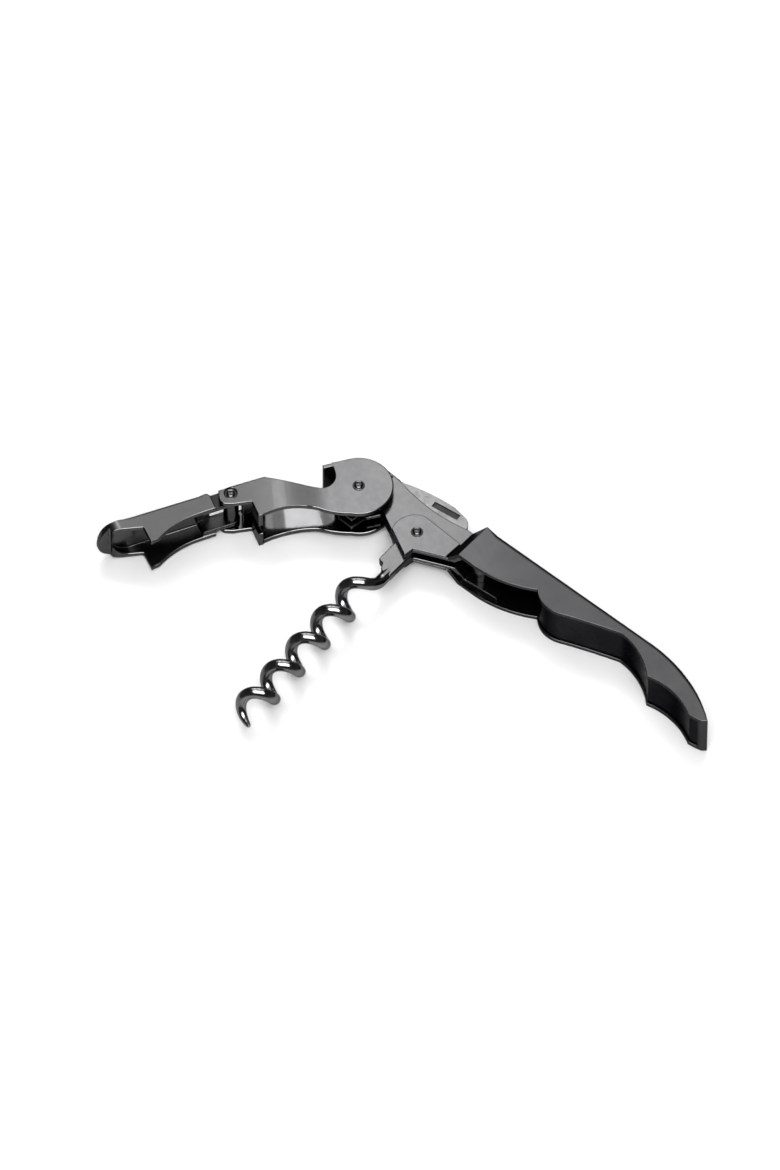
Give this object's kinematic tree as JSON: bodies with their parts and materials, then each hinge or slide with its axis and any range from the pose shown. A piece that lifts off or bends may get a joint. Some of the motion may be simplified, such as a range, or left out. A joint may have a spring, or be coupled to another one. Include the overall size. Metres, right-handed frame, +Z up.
{
  "type": "lever corkscrew",
  "caption": "Slim folding corkscrew lying on its side: a wavy metal handle, a wire worm, a foil blade and a lever in two hinged stages with a cap lifter.",
  "frame": {"origin": "middle of the bounding box in X and Y, on the surface the corkscrew lies on", "axes": "+X along the handle towards its tail, +Y towards the handle's back, +Z up through the thickness, along every rivet"},
  "size_m": [0.1472, 0.0796, 0.0125],
  "materials": {
    "black_nickel": "polished black nickel plate",
    "worm_steel": "polished black nickel plate on round wire",
    "blade_steel": "ground stainless steel",
    "spring_steel": "dark spring steel",
    "dark_steel": "polished black nickel plate"
  },
  "bodies": {
    "handle": {"handle_sleeve": "black_nickel", "grip_wall": "black_nickel", "neck_frame": "black_nickel", "cheek_plate_upper": "black_nickel", "cheek_plate_lower": "black_nickel", "back_spring": "spring_steel", "spring_rivet": "dark_steel", "spring_collar_upper": "dark_steel", "spring_collar_lower": "dark_steel", "worm_rivet": "dark_steel", "lever_rivet": "dark_steel", "lever_washer_upper": "dark_steel", "lever_washer_lower": "dark_steel", "blade_washer_upper": "dark_steel", "blade_washer_lower": "dark_steel"},
    "first_lever": {"first_lever": "black_nickel", "hinge_rivet": "dark_steel", "hinge_spacer": "dark_steel"},
    "second_lever": {"second_lever": "black_nickel"},
    "worm": {"worm": "worm_steel"},
    "foil_blade": {"foil_blade": "blade_steel"}
  },
  "joints": [
    {"name": "lever_hinge", "type": "hinge", "parent": "handle", "child": "first_lever", "pos_m": [-0.03502, 0.02739, 0.00625], "axis": [0, 0, 1], "range_deg": [-3, 108]},
    {"name": "stage_hinge", "type": "hinge", "parent": "first_lever", "child": "second_lever", "pos_m": [-0.05613, 0.00483, 0.00625], "axis": [0, 0, 1], "range_deg": [-90, 5]},
    {"name": "worm_hinge", "type": "hinge", "parent": "handle", "child": "worm", "pos_m": [-0.01637, 0.02719, 0.00625], "axis": [0, 0, 1], "range_deg": [-3, 84]},
    {"name": "blade_hinge", "type": "hinge", "parent": "handle", "child": "foil_blade", "pos_m": [-0.03502, 0.02739, 0.00625], "axis": [0, 0, 1], "range_deg": [0, 50]}
  ],
  "couplings": [
    {"joint": "worm_hinge", "follows": "lever_hinge", "ratio": 0.767}
  ]
}
